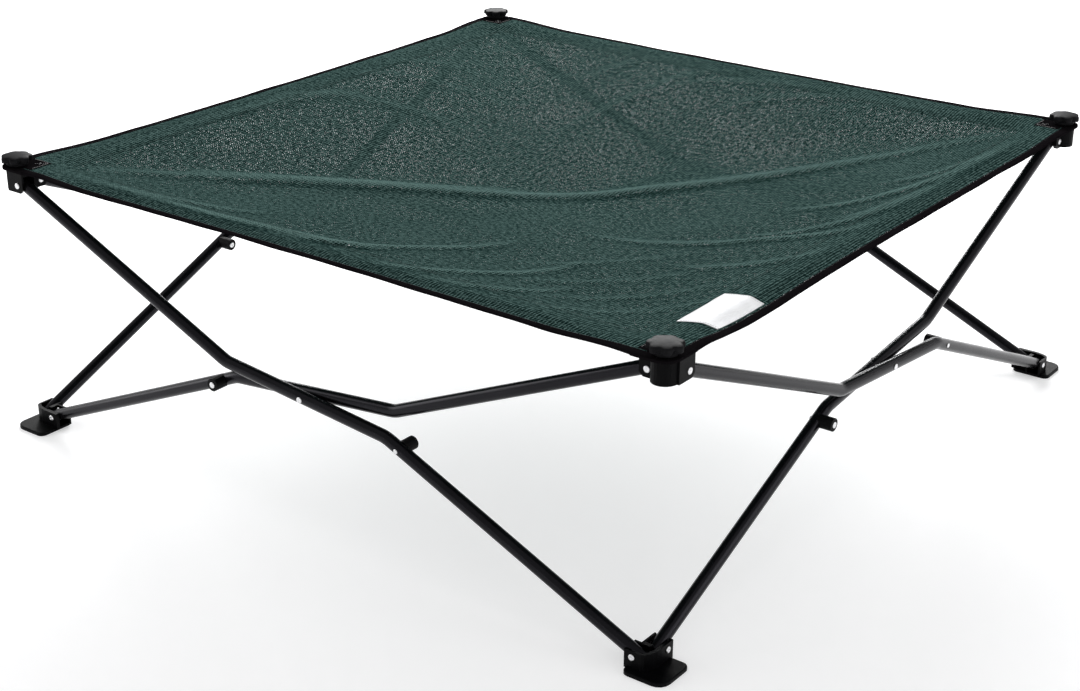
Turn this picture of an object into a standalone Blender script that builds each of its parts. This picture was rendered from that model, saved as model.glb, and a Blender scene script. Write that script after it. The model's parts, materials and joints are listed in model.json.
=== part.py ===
"""Folding raised dog bed: a mesh mat on a square scissor frame of bent tubes.

Each side has two bent tubes that cross at a pivot rivet. The outer tube runs from
the top of the side's first corner to the foot of its second corner, and the inner
tube runs the other way. All four sides are the same piece set, turned by 90 degrees.

Frame: metres, +Z up, origin on the floor at the centre, sides parallel to X and Y.
"""

import math

import bmesh
import bpy
from mathutils import Matrix, Vector

# ---------------------------------------------------------------- layout
CORNER_SPACING = 1.000
HALF_SPACING = CORNER_SPACING / 2
FOOT_PIN_Z = 0.0175
PIN_RISE = 0.3346
TOP_PIN_Z = FOOT_PIN_Z + PIN_RISE
PIN_INSET = 0.0190
SIDES = ("front", "right", "rear", "left")
CORNERS = ("front_left", "front_right", "rear_right", "rear_left")

# ---------------------------------------------------------------- tubes
TUBE_RADIUS = 0.0080
TUBE_BORE_RADIUS = 0.0068
OUTER_PLANE = 0.0068
INNER_PLANE = -0.0098
BEND_INSET = 0.372
BEND_DROP = 0.1540
BEND_RADIUS = 0.045
BEND_STEPS = 2
TUBE_OVERHANG = 0.009
TUBE_SIDES = 16
BORE_SIDES = 6

# ---------------------------------------------------------------- rivets
SHANK_RADIUS = 0.0021
PIN_HOLE_RADIUS = 0.0027
HOLE_SIDES = 6
RIVET_SIDES = 10
HEAD_RADIUS = 0.0040
HEAD_HEIGHT = 0.0010
DIMPLE_RADIUS = 0.0016
DIMPLE_DEPTH = 0.0004
FIT_GAP = 0.0003

# ---------------------------------------------------------------- bumpers
BUMPER_INSET = 0.351
BUMPER_RADIUS = 0.0083
BUMPER_REACH = 0.0150
BUMPER_SADDLE = 0.0030
BUMPER_SIDES = 16

# ---------------------------------------------------------------- clevises
CLEVIS_HALF_GAP = 0.00835
SWEEP_RADIUS = 0.0122
EAR_REACH = 0.0290
OUTER_EAR = 0.0027
INNER_EAR = 0.0052
TAIL_EAR = 0.0025
TAIL_POCKET_RADIUS = 0.0047
TAIL_POCKET_DEPTH = 0.0050
TAIL_SEAT = 0.0002

# ---------------------------------------------------------------- top brackets
BRACKET_TOP = 0.0185
BRACKET_BOTTOM = -0.0095
BOSS_RADIUS = 0.0147
BOSS_SIDES = 24
ROOF_UNDERSIDE = 0.0125
EAR_CHAMFER = 0.0050
STUD_HOLE_RADIUS = 0.0034
STUD_HOLE_DEPTH = 0.0055

# ---------------------------------------------------------------- feet
PLATE_THICKNESS = 0.0048
PLATE_OUT = 0.0285
PLATE_IN = 0.0260
PLATE_CORNER = 0.0085
PLATE_NOSE = 0.0150
TOWER_TOP = 0.0255
TOWER_WALL = 0.0035
ARC_STEPS = 5

# ---------------------------------------------------------------- knobs
MAT_LAYER = 0.0030
KNOB_HUB_RADIUS = 0.0138
KNOB_HUB_HEIGHT = 0.0044
KNOB_RADIUS = 0.0204
KNOB_WAIST = 0.0160
KNOB_HEIGHT = 0.0135
KNOB_CROWN = 0.0024
KNOB_LOBES = 7
STUD_RADIUS = 0.0029
STUD_LENGTH = 0.0080

# ---------------------------------------------------------------- mat
MAT_PLANE_Z = TOP_PIN_Z + 0.0200
MAT_SAG = 0.072
MAT_THICKNESS = 0.0014
MAT_OVERHANG = 0.0190
MAT_CORNER_CLEAR = 0.0290
MAT_SEAM_GAP = 0.0006


# ================================================================ helpers
def clear_scene():
    for item in list(bpy.data.objects):
        bpy.data.objects.remove(item, do_unlink=True)
    for collection in list(bpy.data.collections):
        bpy.data.collections.remove(collection)


def new_collection(name):
    collection = bpy.data.collections.new(name)
    bpy.context.scene.collection.children.link(collection)
    return collection


def make_material(name, colour, roughness, metallic=0.0):
    material = bpy.data.materials.new(name)
    material.use_nodes = True
    shader = material.node_tree.nodes["Principled BSDF"]
    shader.inputs["Base Color"].default_value = (*colour, 1.0)
    shader.inputs["Roughness"].default_value = roughness
    shader.inputs["Metallic"].default_value = metallic
    material.diffuse_color = (*colour, 1.0)
    return material


def mesh_from(bm, name, smooth_angle=None):
    bmesh.ops.recalc_face_normals(bm, faces=bm.faces)
    mesh = bpy.data.meshes.new(name)
    bm.to_mesh(mesh)
    bm.free()
    if smooth_angle is not None:
        mesh.shade_smooth()
        mesh.set_sharp_from_angle(angle=math.radians(smooth_angle))
    return mesh


def add_object(name, mesh, collection, matrix, material=None):
    item = bpy.data.objects.new(name, mesh)
    collection.objects.link(item)
    item.matrix_world = matrix
    if material is not None and not mesh.materials:
        mesh.materials.append(material)
    return item


def prism(outline, low, high):
    """A closed prism over a flat outline of (x, y) points, from z=low to z=high."""
    bm = bmesh.new()
    base = bm.faces.new([bm.verts.new((x, y, low)) for x, y in outline])
    raised = bmesh.ops.extrude_face_region(bm, geom=[base])["geom"]
    lifted = [v for v in raised if isinstance(v, bmesh.types.BMVert)]
    bmesh.ops.translate(bm, verts=lifted, vec=(0, 0, high - low))
    return bm


def box(low, high):
    """A box between two opposite corners."""
    bm = bmesh.new()
    size = Vector(high) - Vector(low)
    centre = (Vector(high) + Vector(low)) / 2
    bmesh.ops.create_cube(bm, size=1.0, matrix=Matrix.Translation(centre) @ Matrix.Diagonal((*size, 1.0)))
    return bm


def cylinder(radius, length, sides, matrix):
    """A closed cylinder along the matrix's Z axis, centred on its origin."""
    bm = bmesh.new()
    bmesh.ops.create_cone(
        bm, cap_ends=True, segments=sides, radius1=radius, radius2=radius, depth=length, matrix=matrix
    )
    return bm


def turned(profile, sides, matrix=Matrix.Identity(4)):
    """A closed solid of revolution about Z; the profile starts and ends on the axis."""
    bm = bmesh.new()
    top = bm.verts.new((0, 0, profile[0][1]))
    bottom = bm.verts.new((0, 0, profile[-1][1]))
    rings = []
    for radius, height in profile[1:-1]:
        turns = [2 * math.pi * k / sides for k in range(sides)]
        rings.append([bm.verts.new((radius * math.cos(t), radius * math.sin(t), height)) for t in turns])
    for k in range(sides):
        after = (k + 1) % sides
        bm.faces.new((top, rings[0][k], rings[0][after]))
        bm.faces.new((bottom, rings[-1][after], rings[-1][k]))
        for upper, lower in zip(rings, rings[1:]):
            bm.faces.new((upper[k], lower[k], lower[after], upper[after]))
    bm.transform(matrix)
    return bm


def along(axis, centre):
    """A matrix that turns +Z to the axis and moves the origin to the centre."""
    turn = Vector((0, 0, 1)).rotation_difference(Vector(axis)).to_matrix().to_4x4()
    return Matrix.Translation(Vector(centre)) @ turn


def side_point(s, n, z):
    """A point of the front side: s along it, n outward from the line of the corner axes."""
    return Vector((-HALF_SPACING + s, -HALF_SPACING - n, z))


def quarter_turn(k):
    return Matrix.Rotation(k * math.pi / 2, 4, "Z")


def boolean(item, cutter, operation):
    modifier = item.modifiers.new(cutter.name, "BOOLEAN")
    modifier.operation = operation
    modifier.object = cutter
    modifier.solver = "EXACT"


class Workshop:
    """The two collections, and cutters that belong to one solid."""

    def __init__(self):
        self.parts = new_collection("folding_dog_bed")
        self.cutters = new_collection("cutters")

    def tool(self, name, bm):
        item = add_object(name, mesh_from(bm, name), self.cutters, Matrix.Identity(4))
        item.hide_render = True
        item.display_type = "WIRE"
        return item

    def carved(self, name, bm, added, removed, smooth_angle=None):
        """The mesh of a solid after unions with the added and cuts by the removed."""
        item = add_object(name + "_blank", mesh_from(bm, name), self.cutters, Matrix.Identity(4))
        for k, extra in enumerate(added):
            boolean(item, self.tool(f"{name}_add_{k}", extra), "UNION")
        for k, extra in enumerate(removed):
            boolean(item, self.tool(f"{name}_cut_{k}", extra), "DIFFERENCE")
        bpy.context.view_layer.update()
        evaluated = item.evaluated_get(bpy.context.evaluated_depsgraph_get())
        mesh = bpy.data.meshes.new_from_object(evaluated)
        mesh.name = name
        bm_out = bmesh.new()
        bm_out.from_mesh(mesh)
        bmesh.ops.dissolve_limit(
            bm_out, angle_limit=math.radians(0.5), verts=bm_out.verts, edges=bm_out.edges
        )
        loose = [e for e in bm_out.edges if not e.link_faces]
        bmesh.ops.delete(bm_out, geom=loose, context="EDGES")
        bm_out.to_mesh(mesh)
        bm_out.free()
        bpy.data.objects.remove(item, do_unlink=True)
        if smooth_angle is not None:
            mesh.shade_smooth()
            mesh.set_sharp_from_angle(angle=math.radians(smooth_angle))
        return mesh


# ================================================================ tubes
def outer_tube_route():
    """The outer tube's axis on the front side, from its top end to its foot end."""
    top = side_point(PIN_INSET, OUTER_PLANE, TOP_PIN_Z)
    upper = side_point(BEND_INSET, OUTER_PLANE, TOP_PIN_Z - BEND_DROP)
    lower = side_point(CORNER_SPACING - BEND_INSET, OUTER_PLANE, FOOT_PIN_Z + BEND_DROP)
    foot = side_point(CORNER_SPACING - PIN_INSET, OUTER_PLANE, FOOT_PIN_Z)
    start = top + (top - upper).normalized() * TUBE_OVERHANG
    end = foot + (foot - lower).normalized() * TUBE_OVERHANG
    return [start, upper, lower, end]


def mirrored_route(route):
    """The inner tube's axis: the same route, mirrored across the side's middle."""
    shift = Vector((0, OUTER_PLANE - INNER_PLANE, 0))
    return [Vector((-p.x, p.y, p.z)) + shift for p in route]


def bend_points(before, corner, after):
    """Points on the arc that rounds a corner of the route."""
    into = (corner - before).normalized()
    out = (after - corner).normalized()
    turn = into.angle(out)
    set_back = BEND_RADIUS * math.tan(turn / 2)
    start = corner - into * set_back
    side = (out - into * into.dot(out)).normalized()
    centre = start + side * BEND_RADIUS
    points = []
    for k in range(BEND_STEPS + 1):
        angle = turn * k / BEND_STEPS
        points.append(centre - side * BEND_RADIUS * math.cos(angle) + into * BEND_RADIUS * math.sin(angle))
    return points


def rounded_route(route):
    start, upper, lower, end = route
    return [start, *bend_points(start, upper, lower), *bend_points(upper, lower, end), end]


def swept_ring(bm, point, tangent, radius, sides):
    """A ring of vertices square to the tangent, with its first axis square to the side's plane."""
    across = Vector((0, 1, 0))
    up = tangent.cross(across).normalized()
    turns = [2 * math.pi * (k + 0.5) / sides for k in range(sides)]
    return [bm.verts.new(point + (across * math.cos(t) + up * math.sin(t)) * radius) for t in turns]


def bridge_rings(bm, rings):
    for first, second in zip(rings, rings[1:]):
        for k in range(len(first)):
            after = (k + 1) % len(first)
            bm.faces.new((first[k], first[after], second[after], second[k]))


def ring_edges(bm, ring):
    pairs = zip(ring, ring[1:] + ring[:1])
    return [bm.edges.get(pair) or bm.edges.new(pair) for pair in pairs]


def tube_wall(route):
    """An open-ended tube with a bore, swept along a rounded route."""
    points = rounded_route(route)
    steps = [(b - a).normalized() for a, b in zip(points, points[1:])]
    tangents = [steps[0]] + [(a + b).normalized() for a, b in zip(steps, steps[1:])] + [steps[-1]]
    bm = bmesh.new()
    skins = []
    for radius, sides in ((TUBE_RADIUS, TUBE_SIDES), (TUBE_BORE_RADIUS, BORE_SIDES)):
        rings = [swept_ring(bm, p, t, radius, sides) for p, t in zip(points, tangents)]
        bridge_rings(bm, rings)
        skins.append(rings)
    for end in (0, -1):
        edges = ring_edges(bm, skins[0][end]) + ring_edges(bm, skins[1][end])
        bmesh.ops.triangle_fill(bm, edges=edges, use_beauty=True, use_dissolve=False)
    return bm


def bumper_centre(plane, s):
    """The point on a tube's lower run, at s along the side, where its bumper sits."""
    run = CORNER_SPACING - PIN_INSET - (CORNER_SPACING - BEND_INSET)
    rise = BEND_DROP * (BUMPER_INSET - PIN_INSET) / run
    return side_point(s, plane, FOOT_PIN_Z + rise)


def tube_holes(plane, top_s, foot_s, bumper_s):
    """Cutters for the cross holes of one tube: two end pins, the pivot and the bumper's rivet."""
    middle_z = (TOP_PIN_Z + FOOT_PIN_Z) / 2
    centres = [
        side_point(top_s, plane, TOP_PIN_Z),
        side_point(foot_s, plane, FOOT_PIN_Z),
        side_point(HALF_SPACING, plane, middle_z),
        bumper_centre(plane, bumper_s),
    ]
    return [cylinder(PIN_HOLE_RADIUS, 3 * TUBE_RADIUS, HOLE_SIDES, along((0, 1, 0), c)) for c in centres]


def make_tubes(shop, material):
    outer_route = outer_tube_route()
    far = CORNER_SPACING
    plans = {
        "outer": (outer_route, OUTER_PLANE, PIN_INSET, far - PIN_INSET, far - BUMPER_INSET),
        "inner": (mirrored_route(outer_route), INNER_PLANE, far - PIN_INSET, PIN_INSET, BUMPER_INSET),
    }
    for layer, (route, plane, top_s, foot_s, bumper_s) in plans.items():
        holes = tube_holes(plane, top_s, foot_s, bumper_s)
        mesh = shop.carved(f"{layer}_tube", tube_wall(route), [], holes, smooth_angle=40)
        top_pin = side_point(top_s, plane, TOP_PIN_Z)
        mesh.transform(Matrix.Translation(-top_pin))
        for k, side in enumerate(SIDES):
            matrix = quarter_turn(k) @ Matrix.Translation(top_pin)
            add_object(f"{side}_{layer}_tube", mesh, shop.parts, matrix, material)


# ================================================================ bumpers
def make_bumpers(shop, material):
    far = CORNER_SPACING
    plans = {"outer": (OUTER_PLANE, far - BUMPER_INSET, 1), "inner": (INNER_PLANE, BUMPER_INSET, -1)}
    for layer, (plane, s, facing) in plans.items():
        seat = bumper_centre(plane, s)
        length = TUBE_RADIUS + BUMPER_REACH - BUMPER_SADDLE
        middle = seat + Vector((0, facing * (BUMPER_SADDLE + length / 2), 0))
        blank = cylinder(BUMPER_RADIUS, length, BUMPER_SIDES, along((0, facing, 0), middle))
        slope = Vector((far - PIN_INSET - (far - BEND_INSET), 0, -BEND_DROP * facing))
        saddle = cylinder(TUBE_RADIUS + FIT_GAP, 4 * BUMPER_RADIUS, TUBE_SIDES, along(slope.normalized(), seat))
        hole = cylinder(PIN_HOLE_RADIUS, 4 * length, HOLE_SIDES, along((0, 1, 0), seat))
        mesh = shop.carved(f"bumper_{layer}", blank, [], [saddle, hole], smooth_angle=40)
        mesh.transform(Matrix.Translation(-seat))
        for k, side in enumerate(SIDES):
            matrix = quarter_turn(k) @ Matrix.Translation(seat)
            add_object(f"bumper_{side}_{layer}", mesh, shop.parts, matrix, material)


# ================================================================ rivets
def rivet_mesh(name, grip, tail_radius):
    """A rivet along Z: its dimpled head from z=0 up, its shank and its rolled tail below."""
    tail_top = -grip
    tail_end = -grip - HEAD_HEIGHT
    profile = [
        (0, HEAD_HEIGHT - DIMPLE_DEPTH),
        (DIMPLE_RADIUS, HEAD_HEIGHT),
        (HEAD_RADIUS * 0.88, HEAD_HEIGHT * 0.9),
        (HEAD_RADIUS, 0),
        (SHANK_RADIUS, 0),
        (SHANK_RADIUS, tail_top),
        (tail_radius, tail_top),
        (tail_radius * 0.8, tail_end),
        (0, tail_end + DIMPLE_DEPTH),
    ]
    return mesh_from(turned(profile, RIVET_SIDES), name, smooth_angle=35)


def place_rivets(shop, material, prefix, suffix, mesh, head_point, outward):
    """One rivet per side; outward is +1 when the head faces out of the bed, -1 when it faces in."""
    for k, side in enumerate(SIDES):
        matrix = quarter_turn(k) @ along((0, -outward, 0), head_point)
        add_object(f"{prefix}_{side}{suffix}", mesh, shop.parts, matrix, material)


def head_ear(plane):
    """The thickness of the clevis ear under a rivet's head."""
    return OUTER_EAR if plane == OUTER_PLANE else INNER_EAR


def make_rivets(shop, material):
    far = CORNER_SPACING
    middle_z = (TOP_PIN_Z + FOOT_PIN_Z) / 2
    pivot_head = OUTER_PLANE + TUBE_RADIUS + FIT_GAP
    pivot_grip = pivot_head - (INNER_PLANE - TUBE_RADIUS - FIT_GAP)
    pivot_mesh = rivet_mesh("pivot_rivet", pivot_grip, HEAD_RADIUS)
    place_rivets(shop, material, "pivot_rivet", "", pivot_mesh, side_point(HALF_SPACING, pivot_head, middle_z), 1)

    for layer, plane, top_s in (("outer", OUTER_PLANE, PIN_INSET), ("inner", INNER_PLANE, far - PIN_INSET)):
        head_n = plane + CLEVIS_HALF_GAP + head_ear(plane) + FIT_GAP
        grip = 2 * CLEVIS_HALF_GAP + head_ear(plane) + TAIL_EAR + 2 * FIT_GAP
        mesh = rivet_mesh(f"pin_rivet_{layer}", grip, HEAD_RADIUS)
        top_head = side_point(top_s, head_n, TOP_PIN_Z)
        foot_head = side_point(far - top_s, head_n, FOOT_PIN_Z)
        place_rivets(shop, material, "top_rivet", f"_{layer}", mesh, top_head, 1)
        place_rivets(shop, material, "foot_rivet", f"_{layer}", mesh, foot_head, 1)

    through = 2 * TUBE_RADIUS + BUMPER_REACH + 2 * FIT_GAP
    mesh = rivet_mesh("bumper_rivet", through, 0.75 * HEAD_RADIUS)
    for layer, plane, s, outward in (("outer", OUTER_PLANE, far - BUMPER_INSET, 1), ("inner", INNER_PLANE, BUMPER_INSET, -1)):
        seat = bumper_centre(plane, s)
        head = seat - Vector((0, outward * (TUBE_RADIUS + FIT_GAP), 0))
        place_rivets(shop, material, "bumper_rivet", f"_{layer}", mesh, head, outward)


# ================================================================ corner fittings
def corner_place(k, z):
    """The placing of a fitting whose +X runs along its own side and whose +Y runs inward."""
    return quarter_turn(k) @ Matrix.Translation((-HALF_SPACING, -HALF_SPACING, z))


def wing_prism(low, high, reach, bottom, top, chamfer):
    """A clevis block along +X between two depths in Y, with its lower outer corner cut off."""
    outline = [(0, bottom), (reach - chamfer, bottom), (reach, bottom + chamfer), (reach, top), (0, top)]
    bm = prism(outline, low, high)
    bm.transform(Matrix.Rotation(math.pi / 2, 4, "X") @ Matrix.Scale(-1, 4, (0, 0, 1)))
    return bm


def turned_to_other_wing(bm):
    """Swap X and Y, which carries a wing along +X to the wing along +Y."""
    bm.transform(Matrix(((0, 1, 0, 0), (1, 0, 0, 0), (0, 0, 1, 0), (0, 0, 0, 1))))
    bmesh.ops.reverse_faces(bm, faces=bm.faces)
    return bm


def wing_faces(plane):
    """The depths of a wing's two outer faces, measured inward from the side's line."""
    return -plane - CLEVIS_HALF_GAP - head_ear(plane), -plane + CLEVIS_HALF_GAP + TAIL_EAR


def clevis_slots(first_plane, second_plane, low, high):
    """The two slots of a corner fitting, each open at its outer end."""
    start = PIN_INSET - SWEEP_RADIUS
    stop = EAR_REACH + 0.010
    slots = []
    for plane, swap in ((-first_plane, False), (-second_plane, True)):
        slot = box((start, plane - CLEVIS_HALF_GAP, low), (stop, plane + CLEVIS_HALF_GAP, high))
        slots.append(turned_to_other_wing(slot) if swap else slot)
    return slots


def pin_cutters(plane, z, swap):
    """The pin hole through one clevis and, beside the other wing, a pocket for the rolled tail."""
    tail = -plane + CLEVIS_HALF_GAP + TAIL_EAR
    head_side = -plane - CLEVIS_HALF_GAP - 2 * INNER_EAR
    hole_length = tail + FIT_GAP - head_side
    centre = (PIN_INSET, head_side + hole_length / 2, z)
    cutters = [cylinder(PIN_HOLE_RADIUS, hole_length, HOLE_SIDES, along((0, 1, 0), centre))]
    if plane == OUTER_PLANE:
        pocket_centre = (PIN_INSET, tail - TAIL_SEAT + TAIL_POCKET_DEPTH / 2, z)
        cutters.append(
            cylinder(TAIL_POCKET_RADIUS, TAIL_POCKET_DEPTH, BUMPER_SIDES, along((0, 1, 0), pocket_centre))
        )
    return [turned_to_other_wing(bm) for bm in cutters] if swap else cutters


def hull_prism(points, low, high):
    """The convex prism around (x, y) points."""
    bm = bmesh.new()
    for x, y in points:
        bm.verts.new((x, y, low))
        bm.verts.new((x, y, high))
    result = bmesh.ops.convex_hull(bm, input=bm.verts)
    loose = [v for v in result["geom_interior"] if isinstance(v, bmesh.types.BMVert)]
    bmesh.ops.delete(bm, geom=loose, context="VERTS")
    bmesh.ops.dissolve_limit(bm, angle_limit=math.radians(0.5), verts=bm.verts, edges=bm.edges)
    return bm


def make_brackets(shop, material):
    """Wing along +X for the side's outer tube, wing along +Y for the side before's inner tube."""
    first_low, first_high = wing_faces(OUTER_PLANE)
    second_low, second_high = wing_faces(INNER_PLANE)
    turns = [2 * math.pi * k / BOSS_SIDES for k in range(BOSS_SIDES)]
    circle = [(BOSS_RADIUS * math.cos(t), BOSS_RADIUS * math.sin(t)) for t in turns]
    boss = hull_prism(circle + [(PIN_INSET * 0.4, first_low)], BRACKET_BOTTOM, BRACKET_TOP)
    first = wing_prism(first_low, first_high, EAR_REACH, BRACKET_BOTTOM, BRACKET_TOP, EAR_CHAMFER)
    second = wing_prism(second_low, second_high, EAR_REACH, BRACKET_BOTTOM, BRACKET_TOP, EAR_CHAMFER)
    slots = clevis_slots(OUTER_PLANE, INNER_PLANE, 2 * BRACKET_BOTTOM, ROOF_UNDERSIDE)
    stud_z = BRACKET_TOP - STUD_HOLE_DEPTH / 2 + 0.001
    stud = cylinder(STUD_HOLE_RADIUS, STUD_HOLE_DEPTH + 0.002, BUMPER_SIDES, along((0, 0, 1), (0, 0, stud_z)))
    added = [first, turned_to_other_wing(second)]
    pins = pin_cutters(OUTER_PLANE, 0, False) + pin_cutters(INNER_PLANE, 0, True)
    mesh = shop.carved("bracket", boss, added, [*slots, stud, *pins], smooth_angle=35)
    for k, corner in enumerate(CORNERS):
        add_object(f"bracket_{corner}", mesh, shop.parts, corner_place(k, TOP_PIN_Z), material)


def quarter_ellipse(centre, reach_x, reach_y):
    """Points from the left end to the lower end of an ellipse's third quarter."""
    points = []
    for k in range(ARC_STEPS + 1):
        angle = math.pi + (math.pi / 2) * k / ARC_STEPS
        points.append((centre[0] + reach_x * math.cos(angle), centre[1] + reach_y * math.sin(angle)))
    return points


def plate_outline():
    """The base plate: a square with small rounded corners and a large rounded outer nose."""
    corners = (
        ((-PLATE_OUT, -PLATE_OUT), PLATE_NOSE, math.pi),
        ((PLATE_IN, -PLATE_OUT), PLATE_CORNER, 1.5 * math.pi),
        ((PLATE_IN, PLATE_IN), PLATE_CORNER, 0.0),
        ((-PLATE_OUT, PLATE_IN), PLATE_CORNER, 0.5 * math.pi),
    )
    outline = []
    for (x, y), radius, start in corners:
        inward_x = math.copysign(radius, -x)
        inward_y = math.copysign(radius, -y)
        for k in range(ARC_STEPS):
            angle = start + (math.pi / 2) * k / (ARC_STEPS - 1)
            outline.append((x + inward_x + radius * math.cos(angle), y + inward_y + radius * math.sin(angle)))
    return outline


def bevelled_plate():
    """The base plate with its upper rim rounded off."""
    bm = prism(plate_outline(), 0, PLATE_THICKNESS)
    rim = [e for e in bm.edges if all(abs(v.co.z - PLATE_THICKNESS) < 1e-6 for v in e.verts)]
    bmesh.ops.bevel(bm, geom=rim, offset=0.0014, segments=2, profile=0.5, affect="EDGES", clamp_overlap=True)
    return bm


def make_feet(shop, material):
    """Clevis along +X for the side's inner tube, clevis along +Y for the side before's outer tube."""
    start = PIN_INSET - SWEEP_RADIUS
    first_low, first_high = wing_faces(INNER_PLANE)
    second_low, second_high = wing_faces(OUTER_PLANE)
    arc = quarter_ellipse((start, start), start - second_low, start - first_low)
    tower_outline = [
        (second_low, EAR_REACH),
        *arc,
        (EAR_REACH, first_low),
        (EAR_REACH, first_high),
        (second_high, first_high),
        (second_high, EAR_REACH),
    ]
    tower = prism(tower_outline, PLATE_THICKNESS / 2, TOWER_TOP)
    floor_z = PLATE_THICKNESS + 0.0002
    slots = clevis_slots(INNER_PLANE, OUTER_PLANE, floor_z, 2 * TOWER_TOP)
    pocket_arc = quarter_ellipse(
        (start + 0.001, start + 0.001), start - second_low - TOWER_WALL, start - first_low - TOWER_WALL
    )
    pocket = prism([*pocket_arc, (start + 0.001, start + 0.001)], floor_z, 2 * TOWER_TOP)
    pins = pin_cutters(INNER_PLANE, FOOT_PIN_Z, False) + pin_cutters(OUTER_PLANE, FOOT_PIN_Z, True)
    mesh = shop.carved("foot", bevelled_plate(), [tower], [*slots, pocket, *pins], smooth_angle=35)
    for k, corner in enumerate(CORNERS):
        add_object(f"foot_{corner}", mesh, shop.parts, corner_place(k, 0), material)


# ================================================================ knobs
def star_radius(angle, blend):
    """The knob's outline: broad lobes with narrow scoops, faded out by the blend."""
    wave = 0.5 + 0.5 * math.cos(KNOB_LOBES * angle)
    scoop = (1 - wave) ** 3
    return KNOB_RADIUS - blend * scoop * (KNOB_RADIUS - KNOB_WAIST)


def make_knobs(shop, material):
    """A star cap over a narrower round hub, on a moulded-in stud that enters the bracket."""
    steps = KNOB_LOBES * 6
    underside = KNOB_HUB_HEIGHT
    shoulder = KNOB_HEIGHT - KNOB_CROWN
    levels = (
        (STUD_RADIUS, -STUD_LENGTH, 0.0, True),
        (STUD_RADIUS, 0.0, 0.0, True),
        (KNOB_HUB_RADIUS, 0.0, 0.0, True),
        (KNOB_HUB_RADIUS, underside, 0.0, True),
        (0.970, underside + 0.0002, 1.0, False),
        (1.000, underside + 0.0014, 1.0, False),
        (0.995, shoulder - 0.0012, 0.75, False),
        (0.930, shoulder + 0.0004, 0.35, False),
        (0.560, KNOB_HEIGHT, 0.0, False),
    )
    bm = bmesh.new()
    rings = []
    for size, z, blend, is_round in levels:
        ring = []
        for k in range(steps):
            angle = 2 * math.pi * k / steps
            radius = size if is_round else size * star_radius(angle, blend)
            ring.append(bm.verts.new((radius * math.cos(angle), radius * math.sin(angle), z)))
        rings.append(ring)
    bridge_rings(bm, rings)
    bm.faces.new(list(reversed(rings[0])))
    bm.faces.new(rings[-1])
    mesh = mesh_from(bm, "knob", smooth_angle=45)
    base = TOP_PIN_Z + BRACKET_TOP + MAT_LAYER
    for k, corner in enumerate(CORNERS):
        add_object(f"knob_{corner}", mesh, shop.parts, corner_place(k, base), material)


# ================================================================ mat
def mat_height(n):
    """The mat's middle surface on one side: flat strip outside the corner axes, then the sag."""
    inward = max(0.0, -n)
    return MAT_PLANE_Z - MAT_SAG * inward / HALF_SPACING


def make_mat(shop, material):
    """Four triangular panels that meet along the diagonals; each one hangs from its own side."""
    clear = MAT_CORNER_CLEAR
    gap = MAT_SEAM_GAP
    tip = HALF_SPACING - gap
    outline = [
        (clear, MAT_OVERHANG),
        (clear, -(clear - gap)),
        (HALF_SPACING, -tip),
        (CORNER_SPACING - clear, -(clear - gap)),
        (CORNER_SPACING - clear, MAT_OVERHANG),
        (CORNER_SPACING - clear, 0.0),
        (clear, 0.0),
    ]
    bm = bmesh.new()
    half = MAT_THICKNESS / 2
    layers = []
    for offset in (half, -half):
        layers.append([bm.verts.new(side_point(s, n, mat_height(n) + offset)) for s, n in outline])
    for top in layers:
        bm.faces.new((top[0], top[6], top[5], top[4]))
        bm.faces.new((top[6], top[1], top[2], top[3], top[5]))
    rim = (0, 6, 1, 2, 3, 5, 4)
    for a, b in zip(rim, rim[1:] + rim[:1]):
        bm.faces.new((layers[0][a], layers[0][b], layers[1][b], layers[1][a]))
    mesh = mesh_from(bm, "mat_panel")
    for k, side in enumerate(SIDES):
        add_object(f"mat_panel_{side}", mesh, shop.parts, quarter_turn(k), material)


# ================================================================ build
def main():
    clear_scene()
    shop = Workshop()
    steel = make_material("black_powder_coat", (0.018, 0.018, 0.021), 0.38)
    plastic = make_material("black_moulded_plastic", (0.016, 0.016, 0.017), 0.45)
    rubber = make_material("black_bumper_plastic", (0.014, 0.014, 0.015), 0.60)
    bright = make_material("bright_rivet_steel", (0.78, 0.78, 0.79), 0.28, 1.0)
    mesh_fabric = make_material("green_mesh_fabric", (0.030, 0.085, 0.070), 0.85)
    make_tubes(shop, steel)
    make_bumpers(shop, rubber)
    make_rivets(shop, bright)
    make_brackets(shop, plastic)
    make_feet(shop, plastic)
    make_knobs(shop, plastic)
    make_mat(shop, mesh_fabric)


main()
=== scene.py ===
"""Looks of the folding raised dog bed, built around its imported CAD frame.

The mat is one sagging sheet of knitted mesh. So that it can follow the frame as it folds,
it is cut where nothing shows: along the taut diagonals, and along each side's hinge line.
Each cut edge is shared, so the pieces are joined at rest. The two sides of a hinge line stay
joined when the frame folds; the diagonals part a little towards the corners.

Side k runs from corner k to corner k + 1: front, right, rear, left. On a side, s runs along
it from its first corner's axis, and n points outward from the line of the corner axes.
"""

import json
import math

import bmesh
import bpy
import numpy as np
from mathutils import Matrix, Vector, noise

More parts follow.
